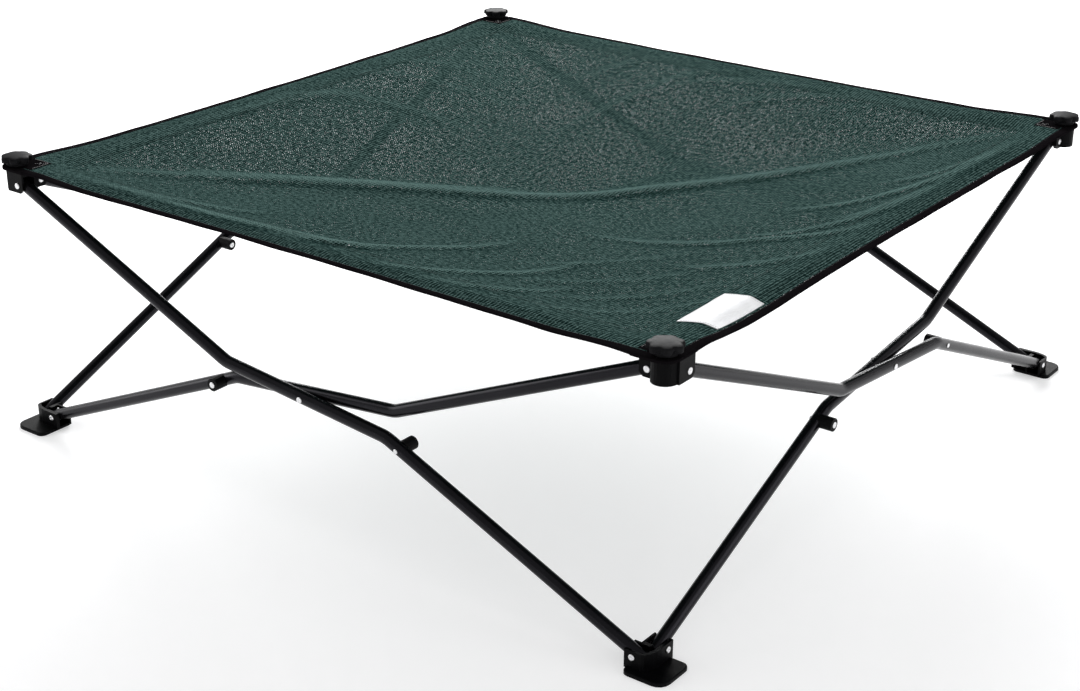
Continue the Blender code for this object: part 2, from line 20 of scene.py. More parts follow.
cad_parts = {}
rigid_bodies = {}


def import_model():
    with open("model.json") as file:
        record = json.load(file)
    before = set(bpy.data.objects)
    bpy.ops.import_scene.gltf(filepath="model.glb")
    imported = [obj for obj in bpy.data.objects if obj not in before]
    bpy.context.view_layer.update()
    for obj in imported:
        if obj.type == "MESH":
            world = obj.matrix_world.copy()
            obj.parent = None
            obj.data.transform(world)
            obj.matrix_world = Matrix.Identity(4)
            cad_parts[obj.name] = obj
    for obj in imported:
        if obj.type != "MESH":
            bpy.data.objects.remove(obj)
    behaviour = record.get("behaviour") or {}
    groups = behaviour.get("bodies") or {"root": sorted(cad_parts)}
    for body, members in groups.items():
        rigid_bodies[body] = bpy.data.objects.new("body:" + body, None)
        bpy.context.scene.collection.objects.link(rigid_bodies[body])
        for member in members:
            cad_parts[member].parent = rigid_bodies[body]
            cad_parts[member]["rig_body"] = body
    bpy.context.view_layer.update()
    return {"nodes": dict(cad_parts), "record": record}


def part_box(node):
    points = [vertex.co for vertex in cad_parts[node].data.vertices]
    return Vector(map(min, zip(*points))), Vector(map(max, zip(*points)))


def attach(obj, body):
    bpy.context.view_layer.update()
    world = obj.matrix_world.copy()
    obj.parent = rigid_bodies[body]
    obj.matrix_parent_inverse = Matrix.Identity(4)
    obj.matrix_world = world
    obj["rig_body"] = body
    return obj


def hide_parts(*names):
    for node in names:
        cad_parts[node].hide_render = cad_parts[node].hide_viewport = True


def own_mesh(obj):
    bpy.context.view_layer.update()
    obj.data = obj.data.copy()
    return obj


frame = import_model()

# ---------------------------------------------------------------- the frame's own numbers
JOINTS = {joint["name"]: joint for joint in frame["record"]["behaviour"]["joints"]}
MOUNTS = {mount["name"]: mount["pos_m"] for mount in frame["record"]["mounts"]}
SIDES = ("front", "right", "rear", "left")
CORNERS = ("front_left", "front_right", "rear_right", "rear_left")
LAYERS = ("outer", "inner")
HALF = MOUNTS["floor_front_right"][0]
SPACING = 2 * HALF
FOOT_PIN = JOINTS["fold"]["pos_m"]
TOP_PIN = JOINTS["front_outer_to_bracket_front_left"]["pos_m"]
INNER_PIN = JOINTS["front_inner_to_bracket_front_right"]["pos_m"]
HINGE = JOINTS["mat_fold_front"]["pos_m"]
PIN_INSET = TOP_PIN[0] + HALF
PLANES = {"outer": -HALF - TOP_PIN[1], "inner": -HALF - INNER_PIN[1]}
HINGE_N = -HALF - HINGE[1]

# ---------------------------------------------------------------- the tubes, along the CAD's own paths
TUBE_RADIUS = 0.0080
BORE_RADIUS = 0.0066
BEND_INSET = 0.372
BEND_DROP = 0.1540
BEND_RADIUS = 0.045
BEND_STEPS = 14
TUBE_OVERHANG = 0.009

# ---------------------------------------------------------------- the mat
MAT_Z = TOP_PIN[2] + 0.0200
MAT_SAG = 0.075
MAT_REACH = 0.0190
TROUGH = 0.0110
EDGE_BOW = (0.0100, 0.0030, 0.0100, 0.0100)
EDGE_DROOP = (0.0050, 0.0045, 0.0040, 0.0040)
TAG_DROOP = 0.0035
CORNER_FLAT = 0.034
CORNER_BLEND = 0.078
INNER_CELLS = 240
OUTER_CELLS = 10
EDGE_FIRST = 3
MESH_THICKNESS = 0.00018
TAPE_WIDTH = 0.0125
HEM_DEPTH = 0.047
# A tube spans WIDE by TALL between its end pins.
WIDE, TALL = SPACING - 2 * PIN_INSET, TOP_PIN[2] - FOOT_PIN[2]

FACES_PER_TURN = 32


# ================================================================ places
def side_matrix(k):
    """Turns the front side to side k."""
    return Matrix.Rotation(k * math.pi / 2, 4, "Z")


def side_point(k, s, n, z):
    return side_matrix(k) @ Vector((s - HALF, -HALF - n, z))


def along_side(k):
    return side_matrix(k) @ Vector((1, 0, 0))


def smoothstep(low, high, value):
    t = min(1.0, max(0.0, (value - low) / (high - low)))
    return t * t * (3 - 2 * t)


# ================================================================ meshes
def finish_mesh(name, bm, materials, smooth_angle=40):
    """Turns a bmesh into a linked object with smooth shading and sharp edges by angle."""
    mesh = bpy.data.meshes.new(name)
    bm.to_mesh(mesh)
    bm.free()
    mesh.shade_smooth()
    if smooth_angle is not None:
        mesh.set_sharp_from_angle(angle=math.radians(smooth_angle))
    for material in materials:
        mesh.materials.append(material)
    piece = bpy.data.objects.new(name, mesh)
    bpy.context.scene.collection.objects.link(piece)
    return piece


def closed_loft(bm, rings, loop=False):
    """Quads between rings of vertices; every ring is closed, and so is the loft if loop is true."""
    pairs = list(zip(rings, rings[1:]))
    if loop:
        pairs.append((rings[-1], rings[0]))
    count = len(rings[0])
    for first, second in pairs:
        for k in range(count):
            after = (k + 1) % count
            bm.faces.new((first[k], first[after], second[after], second[k]))


def capped(bm, rings):
    """Ends an open loft with a flat face at each end."""
    bm.faces.new(list(reversed(rings[0])))
    bm.faces.new(rings[-1])


def flat_uv(bm, to_uv):
    """Gives each face corner a place in metres, so that a weave keeps its real scale."""
    layer = bm.loops.layers.uv.new("cloth")
    for face in bm.faces:
        for loop in face.loops:
            loop[layer].uv = to_uv(loop.vert.co)


def turned(bm, profile, matrix):
    """A solid of revolution about the matrix's Z; the profile starts and ends on the axis."""
    turns = [2 * math.pi * k / FACES_PER_TURN for k in range(FACES_PER_TURN)]
    rings = [
        [bm.verts.new(matrix @ Vector((radius * math.cos(t), radius * math.sin(t), height))) for t in turns]
        for radius, height in profile[1:-1]
    ]
    closed_loft(bm, rings)
    first = bm.verts.new(matrix @ Vector((0, 0, profile[0][1])))
    last = bm.verts.new(matrix @ Vector((0, 0, profile[-1][1])))
    for k in range(FACES_PER_TURN):
        after = (k + 1) % FACES_PER_TURN
        bm.faces.new((first, rings[0][after], rings[0][k]))
        bm.faces.new((last, rings[-1][k], rings[-1][after]))


# ================================================================ materials
class Nodes:
    """A small helper to wire one material."""

    def __init__(self, name):
        self.material = bpy.data.materials.new(name)
        self.material.use_nodes = True
        self.tree = self.material.node_tree
        self.shader = self.tree.nodes["Principled BSDF"]

    def add(self, kind, **settings):
        node = self.tree.nodes.new(kind)
        for key, value in settings.items():
            setattr(node, key, value)
        return node

    def link(self, source, target):
        self.tree.links.new(source, target)

    def set(self, **values):
        """Sets sockets of the Principled shader by name, with _ for a space."""
        for key, value in values.items():
            socket = self.shader.inputs[key.replace("_", " ")]
            socket.default_value = (*value, 1.0) if isinstance(value, tuple) else value

    def math(self, operation, first, second=None):
        node = self.add("ShaderNodeMath", operation=operation)
        for socket, value in zip(node.inputs, (first, second)):
            if isinstance(value, (int, float)):
                socket.default_value = value
            elif value is not None:
                self.link(value, socket)
        return node.outputs[0]

    def place(self, uv=None):
        """Object coordinates, or the named UV map in metres."""
        if uv is None:
            return self.add("ShaderNodeTexCoord").outputs["Object"]
        return self.add("ShaderNodeUVMap", uv_map=uv).outputs["UV"]

    def noise(self, place, scale, detail=2.0, roughness=0.5):
        node = self.add("ShaderNodeTexNoise")
        node.inputs["Scale"].default_value = scale
        node.inputs["Detail"].default_value = detail
        node.inputs["Roughness"].default_value = roughness
        self.link(place, node.inputs["Vector"])
        return node.outputs["Fac"]

    def ramp(self, factor, *stops):
        node = self.add("ShaderNodeValToRGB")
        elements = node.color_ramp.elements
        while len(elements) < len(stops):
            elements.new(0.5)
        for element, (position, colour) in zip(elements, stops):
            element.position = position
            element.color = (*colour, 1.0) if isinstance(colour, tuple) else (colour,) * 3 + (1.0,)
        self.link(factor, node.inputs["Fac"])
        return node.outputs["Color"]

    def bump(self, height, distance, strength):
        node = self.add("ShaderNodeBump")
        node.inputs["Distance"].default_value = distance
        node.inputs["Strength"].default_value = strength
        self.link(height, node.inputs["Height"])
        return node.outputs["Normal"]

    def wave(self, value, period, shift=0.0):
        """cos(2 pi value / period)."""
        turns = self.math("MULTIPLY", value, 2 * math.pi / period)
        return self.math("COSINE", self.math("ADD", turns, shift))

    def split(self, vector):
        node = self.add("ShaderNodeSeparateXYZ")
        self.link(vector, node.inputs[0])
        return node.outputs

    def out(self, colour=None, roughness=None, normal=None):
        if colour is not None:
            self.link(colour, self.shader.inputs["Base Color"])
        if roughness is not None:
            self.link(roughness, self.shader.inputs["Roughness"])
        if normal is not None:
            self.link(normal, self.shader.inputs["Normal"])
        return self.material


def powder_coat():
    """Semi-gloss black powder coat: fine orange peel, a little dust, faint rub marks."""
    n = Nodes("powder_coated_tube")
    place = n.place()
    peel = n.noise(place, 900, 2.0)
    cloud = n.noise(place, 26, 3.0)
    specks = n.noise(place, 2400, 1.0)
    colour = n.ramp(cloud, (0.30, (0.0020, 0.0020, 0.0024)), (0.72, (0.0048, 0.0048, 0.0056)))
    roughness = n.ramp(n.math("ADD", n.math("MULTIPLY", cloud, 0.7), n.math("MULTIPLY", specks, 0.3)),
                       (0.30, 0.15), (0.75, 0.27))
    normal = n.bump(peel, 0.00025, 0.35)
    n.set(IOR=1.5, Specular_IOR_Level=0.17, Specular_Tint=(0.88, 0.86, 1.0))
    n.set(Coat_Weight=0.02, Coat_Roughness=0.18)
    return n.out(colour, roughness, normal)


def moulded_plastic():
    """Black glass-filled plastic with a fine spark-eroded grain."""
    n = Nodes("moulded_black_plastic")
    place = n.place()
    grain = n.noise(place, 1500, 3.0, 0.6)
    cloud = n.noise(place, 60, 3.0)
    colour = n.ramp(cloud, (0.30, (0.0010, 0.0010, 0.0013)), (0.75, (0.0026, 0.0026, 0.0031)))
    roughness = n.ramp(cloud, (0.25, 0.34), (0.75, 0.48))
    n.set(IOR=1.49, Specular_IOR_Level=0.05)
    return n.out(colour, roughness, n.bump(grain, 0.00022, 0.45))


def knob_plastic():
    """The knobs' plastic: a lighter grey than the brackets' black, as painted sheen, and less glossy than
    theirs.
    """
    n = Nodes("knob_plastic")
    place = n.place()
    grain = n.noise(place, 1300, 2.0, 0.6)
    cloud = n.noise(place, 90, 3.0)
    # Painted sheen: the greys are lighter than the brackets', in place of the black knob's soft highlight.
    colour = n.ramp(cloud, (0.30, (0.0070, 0.0070, 0.0078)), (0.75, (0.0140, 0.0140, 0.0152)))
    roughness = n.ramp(cloud, (0.25, 0.42), (0.75, 0.54))
    n.set(IOR=1.5, Specular_IOR_Level=0.015)
    return n.out(colour, roughness, n.bump(grain, 0.00018, 0.35))


def bumper_plastic():
    n = Nodes("bumper_soft_plastic")
    place = n.place()
    grain = n.noise(place, 1100, 4.0, 0.65)
    cloud = n.noise(place, 120, 2.0)
    colour = n.ramp(cloud, (0.30, (0.0020, 0.0020, 0.0023)), (0.75, (0.0046, 0.0046, 0.0050)))
    roughness = n.ramp(cloud, (0.25, 0.50), (0.75, 0.66))
    n.set(IOR=1.5, Specular_IOR_Level=0.07)
    return n.out(colour, roughness, n.bump(grain, 0.00025, 0.5))


def bright_rivet():
    """Zinc-plated steel, burnished in places."""
    n = Nodes("bright_rivet_metal")
    place = n.place()
    cloud = n.noise(place, 420, 3.0)
    scratch = n.noise(place, 2600, 2.0, 0.7)
    colour = n.ramp(cloud, (0.30, (0.62, 0.62, 0.63)), (0.75, (0.86, 0.86, 0.87)))
    roughness = n.ramp(scratch, (0.30, 0.20), (0.75, 0.38))
    n.set(Metallic=1.0)
    return n.out(colour, roughness, n.bump(scratch, 0.00008, 0.4))


MESH_PITCH = 0.0044
# Dark, mid and light stops of the mesh's tone: the dark end also carries painted shade round holes and in
# fold dips, the light end painted highlight on fold crests.
PANEL_GREENS = ((0.0016, 0.0068, 0.0063), (0.0111, 0.0298, 0.0278), (0.0860, 0.1440, 0.1340))
# The hem's greens: the doubled cloth's own green, made lighter and greyer in its dark and middle tones by a
# painted sheen.
HEM_GREENS_WITH_PAINTED_SHEEN = ((0.0066, 0.0198, 0.0182), (0.0165, 0.0392, 0.0366), (0.0560, 0.0960, 0.0900))


def knitted_mesh(name, open_share, greens):
    """Green knitted mesh: rows of rounded holes between twisted yarns. open_share sets the holes' size."""
    n = Nodes(name)
    place = n.place("cloth")
    x, y, _ = n.split(place)
    drift = n.noise(place, 38, 2.0)
    shift = n.math("MULTIPLY", n.math("SUBTRACT", drift, 0.5), 0.0036)
    u = n.math("ADD", x, shift)
    v = n.math("ADD", y, n.math("MULTIPLY", shift, 0.7))
    cell = n.math("MULTIPLY", n.wave(u, 2 * MESH_PITCH), n.wave(v, 2 * MESH_PITCH * 0.86))
    ribs = n.math("ABSOLUTE", cell)
    yarn = n.math("MULTIPLY", n.wave(n.math("ADD", u, v), 0.00105), 0.5)
    crest = n.add("ShaderNodeAttribute", attribute_name="crest").outputs["Fac"]
    size = n.noise(place, 150, 3.0, 0.7)
    level = n.math("ADD", n.math("MULTIPLY", n.math("SUBTRACT", size, 0.5), 0.60), 1.0 - open_share)
    level = n.math("ADD", level, n.math("MULTIPLY", n.math("ABSOLUTE", crest), 0.30))
    cloud = n.noise(place, 6.0, 3.0)
    level = n.math("ADD", level, n.math("MULTIPLY", n.math("SUBTRACT", cloud, 0.5), 0.16))
    solid = n.math("LESS_THAN", ribs, level)
    fibre = n.noise(place, 170, 4.0, 0.80)
    tone = n.math("ADD", n.math("MULTIPLY", cloud, 0.15), n.math("MULTIPLY", fibre, 1.7))
    # Painted shade round the holes: the tone darkens towards each hole, where the yarn curves down into it.
    tone = n.math("SUBTRACT", tone, n.math("ADD", n.math("MULTIPLY", ribs, 0.70), 0.20))
    # Painted highlight and shade: the tone is lighter along fold crests and darker in the dips beside them.
    tone = n.math("ADD", tone, n.math("MULTIPLY", crest, 0.42))
    dark, mid, light = greens
    colour = n.ramp(tone, (0.22, dark), (0.46, mid), (0.74, light))
    height = n.math("ADD", n.math("MULTIPLY", ribs, -1.0), n.math("MULTIPLY", yarn, 0.35))
    normal = n.bump(height, 0.00045, 0.8)
    n.set(Roughness=0.85, Specular_IOR_Level=0.0)
    n.out(colour, None, normal)
    clear = n.add("ShaderNodeBsdfTransparent")
    mix = n.add("ShaderNodeMixShader")
    n.link(solid, mix.inputs["Fac"])
    n.link(clear.outputs[0], mix.inputs[1])
    n.link(n.shader.outputs[0], mix.inputs[2])
    output = next(x for x in n.tree.nodes if x.type == "OUTPUT_MATERIAL")
    n.link(mix.outputs[0], output.inputs["Surface"])
    return n.material


def woven_tape(name, dark, light, rib=0.0011):
    """Black woven tape: fine ribs across its length."""
    n = Nodes(name)
    place = n.place("cloth")
    x, y, _ = n.split(place)
    weave = n.math("MULTIPLY", n.wave(x, rib), n.wave(y, rib * 1.4))
    fuzz = n.noise(place, 1400, 3.0, 0.6)
    cloud = n.noise(place, 18, 3.0)
    tone = n.math("ADD", n.math("MULTIPLY", cloud, 0.5), n.math("MULTIPLY", fuzz, 0.5))
    colour = n.ramp(tone, (0.30, dark), (0.75, light))
    height = n.math("ADD", weave, fuzz)
    n.set(Roughness=0.85, Specular_IOR_Level=0.0)
    return n.out(colour, None, n.bump(height, 0.00025, 0.7))


def label_cloth():
    """A plain pale woven tag with no marks on it, only its weave."""
    n = Nodes("plain_pale_tag")
    place = n.place("cloth")
    x, y, _ = n.split(place)
    weave = n.math("MULTIPLY", n.wave(x, 0.0009), n.wave(y, 0.0009))
    cloud = n.noise(place, 60, 3.0)
    colour = n.ramp(cloud, (0.30, (0.70, 0.71, 0.73)), (0.75, (0.80, 0.81, 0.82)))
    n.set(Roughness=0.62, Specular_IOR_Level=0.3, Sheen_Weight=0.15, Sheen_Roughness=0.5)
    return n.out(colour, None, n.bump(weave, 0.00012, 0.6))


def thread(name, colour):
    """Twisted sewing thread."""
    n = Nodes(name)
    place = n.place()
    twist = n.noise(place, 2200, 2.0, 0.6)
    low = tuple(c * 0.75 for c in colour)
    n.set(Roughness=0.65, Specular_IOR_Level=0.2)
    return n.out(n.ramp(twist, (0.3, low), (0.7, colour)), None, n.bump(twist, 0.00015, 0.6))


# ================================================================ tubes
def bend_points(before, corner, after):
    """The tube's axis round a bend, from where it leaves the straight to where it joins the next."""
    into, out = (corner - before).normalized(), (after - corner).normalized()
    turn = into.angle(out)
    start = corner - into * (BEND_RADIUS * math.tan(turn / 2))
    across = (out - into * into.dot(out)).normalized()
    centre = start + across * BEND_RADIUS
    points = []
    for k in range(BEND_STEPS + 1):
        angle = turn * k / BEND_STEPS
        points.append(centre + (into * math.sin(angle) - across * math.cos(angle)) * BEND_RADIUS)
    return points


def tube_route(layer):
    """The tube's axis on the front side, from its top end to its foot end."""
    n = PLANES[layer]
    mirrored = layer == "inner"

    def point(s, z):
        return side_point(0, SPACING - s if mirrored else s, n, z)

    top = point(PIN_INSET, TOP_PIN[2])
    upper = point(BEND_INSET, TOP_PIN[2] - BEND_DROP)
    lower = point(SPACING - BEND_INSET, FOOT_PIN[2] + BEND_DROP)
    foot = point(SPACING - PIN_INSET, FOOT_PIN[2])
    start = top + (top - upper).normalized() * TUBE_OVERHANG
    end = foot + (foot - lower).normalized() * TUBE_OVERHANG
    return [start, *bend_points(start, upper, lower), *bend_points(upper, lower, end), end]


def make_tubes(material):
    for layer in LAYERS:
        route = tube_route(layer)
        steps = [(b - a).normalized() for a, b in zip(route, route[1:])]
        tangents = [steps[0]] + [(a + b).normalized() for a, b in zip(steps, steps[1:])] + [steps[-1]]
        across = Vector((0, 1, 0))
        turns = [2 * math.pi * k / FACES_PER_TURN for k in range(FACES_PER_TURN)]
        stations = [(p, t, TUBE_RADIUS) for p, t in zip(route, tangents)]
        rim = 0.0005
        first, last = stations[0], stations[-1]
        opening = [(first[0] + first[1] * rim, first[1], TUBE_RADIUS)]
        closing = [(last[0] - last[1] * rim, last[1], TUBE_RADIUS)]
        stations = [(first[0], first[1], TUBE_RADIUS - rim)] + opening + stations[1:-1] + closing + [
            (last[0], last[1], TUBE_RADIUS - rim)
        ]
        inside = [(p, t, BORE_RADIUS) for p, t, _ in reversed(stations)]
        bm = bmesh.new()
        rings = []
        for point, tangent, radius in stations + inside:
            up = tangent.cross(across).normalized()
            rings.append([
                bm.verts.new(point + (across * math.cos(t) + up * math.sin(t)) * radius) for t in turns
            ])
        closed_loft(bm, rings, loop=True)
        bmesh.ops.recalc_face_normals(bm, faces=bm.faces)
        for k, side in enumerate(SIDES):
            turned_copy = bm.copy()
            turned_copy.transform(side_matrix(k))
            piece = finish_mesh(f"tube_{side}_{layer}", turned_copy, [material])
            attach(piece, f"{side}_{layer}")
            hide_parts(f"{side}_{layer}_tube")
        bm.free()


# ================================================================ rivets
RIVET_HEAD = 0.0040
BUMPER_TAIL = 0.0030
RIVET_REACH = 0.0010


def rivet_profile(length, head_radius, tail_radius):
    """From the domed, dimpled head at height 0 down to the rolled tail."""
    return [
        (0, 0.00045), (0.0010, 0.00055), (0.0015, 0.00090), (0.0019, 0.00105),
        (head_radius * 0.72, 0.00098), (head_radius * 0.90, 0.00078), (head_radius * 0.98, 0.00042),
        (head_radius, 0.00005), (head_radius * 0.97, 0.0), (0.0021, 0.0),
        (0.0021, -length), (tail_radius * 0.96, -length), (tail_radius, -length - 0.0003),
        (tail_radius * 0.85, -length - 0.0009), (tail_radius * 0.45, -length - 0.0010), (0, -length - 0.0005),
    ]


def make_rivets(material):
    """Each rivet takes its place from its CAD node: the long way is its axis."""
    for k, side in enumerate(SIDES):
        outward = side_matrix(k) @ Vector((0, -1, 0))
        names = [f"pivot_rivet_{side}"]
        names += [f"{kind}_rivet_{side}_{layer}" for kind in ("top", "foot", "bumper") for layer in LAYERS]
        for name in names:
            low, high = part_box(name)
            centre, size = (low + high) / 2, high - low
            span = abs(size.dot(outward))
            facing = outward
            if name.startswith("bumper_rivet") and name.endswith("outer"):
                facing = -outward
            tail = BUMPER_TAIL if name.startswith("bumper") else RIVET_HEAD
            bm = bmesh.new()
            turn = Vector((0, 0, 1)).rotation_difference(facing).to_matrix().to_4x4()
            matrix = Matrix.Translation(centre + facing * (span / 2 - RIVET_REACH)) @ turn
            turned(bm, rivet_profile(span - 2 * RIVET_REACH, RIVET_HEAD, tail), matrix)
            bmesh.ops.recalc_face_normals(bm, faces=bm.faces)
            piece = finish_mesh(f"steel_{name}", bm, [material], 50)
            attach(piece, frame["nodes"][name]["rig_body"])
            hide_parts(name)


# ================================================================ mat surface
# Tension folds leave the mat's edge, follow it and turn in across the mat, each as a quarter of an ellipse.
# A fold has its start along the edge, its run beside the edge, its depth into the mat, its height
# and its width.
FOLD_INSET = 0.474
RIGHT_FOLDS = (
    (0.34, -0.31, 0.14, 0.0020, 0.0060),
    (0.16, -0.25, 0.13, 0.0016, 0.0055),
    (-0.01, -0.13, 0.33, 0.0019, 0.0060),
    (0.26, -0.27, 0.06, 0.0012, 0.0050),
    (-0.12, -0.10, 0.15, 0.0014, 0.0060),
    (0.40, -0.23, 0.09, 0.0012, 0.0060),
)
FRONT_FOLDS = (
    (-0.35, 0.41, 0.07, 0.0018, 0.0060),
    (-0.08, 0.18, 0.25, 0.0020, 0.0060),
    (0.08, 0.14, 0.22, 0.0017, 0.0060),
    (-0.25, 0.29, 0.05, 0.0012, 0.0050),
    (0.16, 0.12, 0.12, 0.0013, 0.0055),
    (-0.42, 0.27, 0.08, 0.0012, 0.0060),
)
FOLD_STEPS = 6
# The taut ridge runs from corner to corner and sways a little, more in its far half. A short one
# lies beside it: its two ends along x, its offset, its height and its width.
RIDGE_END = 0.44
RIDGE_STEPS = 12
NEAR_SWAY = 0.006
FAR_SWAY = 0.018
RIDGE_HEIGHT = 0.0021
RIDGE_WIDTH = 0.0085
SHORT_RIDGE = (-0.35, -0.03, -0.014, 0.0016, 0.0065)
# Faint folds beside the near corner, parallel to the ridge's normal: their distance from the centre along
# the diagonal, and their half length.
CORNER_FOLDS = (0.30, 0.35, 0.39, 0.24)
CORNER_REACH = 0.08
CORNER_HEIGHT = 0.0007
CORNER_WIDTH = 0.0060
# The far edges have the near edges' folds again, mirrored in the ridge, lower and wider.
FAR_SHARE = 0.28
FAR_WIDTH = 1.2
# Beside a fold's crest lies a dip: its depth, its place and its width, as shares of the crest's.
DIP_DEPTH = 0.3
DIP_PLACE = 2.1
DIP_WIDTH = 1.5
FULL_CREST = 0.0022
FIELD_STEP = 0.0025
CURVE_PIECES = 8


def peeling_fold(start, run, depth):
    """Places (along the edge, out from the centre) of a fold that turns in from the edge."""
    turns = [math.pi / 2 * i / FOLD_STEPS for i in range(FOLD_STEPS + 1)]
    return [(start + run * math.sin(turn), FOLD_INSET - depth * (1 - math.cos(turn))) for turn in turns]


def ridge_place(s):
    """A place on the taut ridge, s along x from the centre."""
    sway = (FAR_SWAY if s > 0 else NEAR_SWAY) * math.sin(math.pi * s / RIDGE_END)
    return (s + sway, s - sway)


def ridge_folds():
    """The taut ridge and the short one beside it."""
    steps = [RIDGE_END * (2 * i / RIDGE_STEPS - 1) for i in range(RIDGE_STEPS + 1)]
    start, end, offset, height, width = SHORT_RIDGE
    return [
        ([ridge_place(s) for s in steps], RIDGE_HEIGHT, RIDGE_WIDTH),
        ([(s + offset, s - offset) for s in (start, (start + end) / 2, end)], height, width),
    ]


def edge_folds():
    """Folds of the right edge, the front edge and the near right corner."""
    folds = [([(out, along) for along, out in peeling_fold(start, run, depth)], height, width)
             for start, run, depth, height, width in RIGHT_FOLDS]
    folds += [([(along, -out) for along, out in peeling_fold(start, run, depth)], height, width)
              for start, run, depth, height, width in FRONT_FOLDS]
    folds += [([(place + reach, -place + reach) for reach in (-CORNER_REACH, 0.0, CORNER_REACH)],
               CORNER_HEIGHT, CORNER_WIDTH) for place in CORNER_FOLDS]
    return folds


def smooth_curve(points):
    """Points along a Catmull-Rom curve through the given ones."""
    spots = [np.array(p) for p in (points[0], *points, points[-1])]
    out = []
    for a, b, c, d in zip(spots, spots[1:], spots[2:], spots[3:]):
        for i in range(CURVE_PIECES):
            t = i / CURVE_PIECES
            square = (2 * a - 5 * b + 4 * c - d) * t**2
            cube = (3 * b - a - 3 * c + d) * t**3
            out.append(0.5 * (2 * b + (c - a) * t + square + cube))
    return out + [spots[-1]]


def fold_field():
    """Height of the tension folds over a square grid of flat places (x, y)."""
    spots = np.arange(-HALF, HALF + FIELD_STEP, FIELD_STEP)
    x, y = np.meshgrid(spots, spots, indexing="ij")
    total = np.zeros_like(x)
    folds = [*ridge_folds(), *edge_folds()]
    folds += [
        ([(b, a) for a, b in points], height * FAR_SHARE, width * FAR_WIDTH)
        for points, height, width in edge_folds()
    ]
    for points, height, width in folds:
        curve = smooth_curve(points)
        nearest = np.full_like(x, 9.0)
        place = np.zeros_like(x)
        for i, (start, end) in enumerate(zip(curve, curve[1:])):
            step = end - start
            length = float(np.hypot(*step))
            along = np.clip(((x - start[0]) * step[0] + (y - start[1]) * step[1]) / length**2, 0, 1)
            away_x, away_y = x - start[0] - along * step[0], y - start[1] - along * step[1]
            gap = np.hypot(away_x, away_y)
            side = np.sign(away_x - away_y)
            closer = gap < np.abs(nearest)
            nearest = np.where(closer, gap * np.where(side == 0, 1, side), nearest)
            place = np.where(closer, (i + along) / (len(curve) - 1), place)
        taper = np.clip(np.sin(np.pi * place), 0, 1) ** 0.6
        crest = np.exp(-((nearest / width) ** 2))
        dip = np.exp(-(((nearest - DIP_PLACE * width) / (DIP_WIDTH * width)) ** 2))
        total += height * taper * (crest - DIP_DEPTH * dip)
    return total


FOLD_HEIGHTS = fold_field()


def fold_height(x, y):
    """The fold field between its grid places."""
    a, b = (x + HALF) / FIELD_STEP, (y + HALF) / FIELD_STEP
    last = FOLD_HEIGHTS.shape[0] - 2
    i, j = min(last, max(0, int(a))), min(last, max(0, int(b)))
    a, b = min(1.0, max(0.0, a - i)), min(1.0, max(0.0, b - j))
    square = FOLD_HEIGHTS[i:i + 2, j:j + 2]
    low = square[0, 0] * (1 - b) + square[0, 1] * b
    high = square[1, 0] * (1 - b) + square[1, 1] * b
    return float(low * (1 - a) + high * a)


def soft_min(a, b, width):
    """The smaller of two lengths, rounded where they are closer than width."""
    gap = max(0.0, width - abs(a - b))
    return min(a, b) - gap * gap / (4 * width)


# How round the hollow's middle is, and how wide each diagonal's crease is at the corner and how it grows.
ROUNDING = 0.10
SLACK_DIAGONAL = (0.020, 0.20)
TAUT_DIAGONAL = (0.008, 0.05)


def sagging(x, y):
    """How far the cloth hangs below its edges: a rounded hollow with one taut ridge from corner to corner."""
    across, along = soft_min(HALF + y, HALF - y, ROUNDING), soft_min(HALF + x, HALF - x, ROUNDING)
    farther = max(across, along)
    taut = smoothstep(-0.006, 0.006, x * y)
    slack_width, taut_width = (
        start + growth * max(0.0, farther) for start, growth in (SLACK_DIAGONAL, TAUT_DIAGONAL)
    )
    width = (1 - taut) * slack_width + taut * taut_width
    near = soft_min(across, along, width)
    far = across + along - near
    slope = MAT_SAG * max(0.0, near) / HALF
    near, far = near - PIN_INSET, far - PIN_INSET
    if near <= 0 or far <= 0:
        return slope
    t = min(1.0, near / far)
    trough = 6.75 * t * t * (1 - t)  # 1 at its deepest
    return slope + TROUGH * trough * far / (HALF - PIN_INSET)


def edge_droop(k, s):
    """How far side k's edge hangs below its corners; the right side's hangs lower beside its tag."""
    near = min(s, SPACING - s)
    level = EDGE_DROOP[k] * smoothstep(0.030, 0.150, near)
    if SIDES[k] == "right":
        level += TAG_DROOP * math.exp(-(((s - 0.16) / 0.12) ** 2)) * smoothstep(0.030, 0.090, near)
    return level


def side_of(x, y):
    """(side, s, n) of a flat place (x, y) of the mat."""
    depths = (HALF + y, HALF - x, HALF - y, HALF + x)
    k = min(range(4), key=lambda i: depths[i])
    local = side_matrix(-k) @ Vector((x, y, 0))
    return k, local.x + HALF, -HALF - local.y


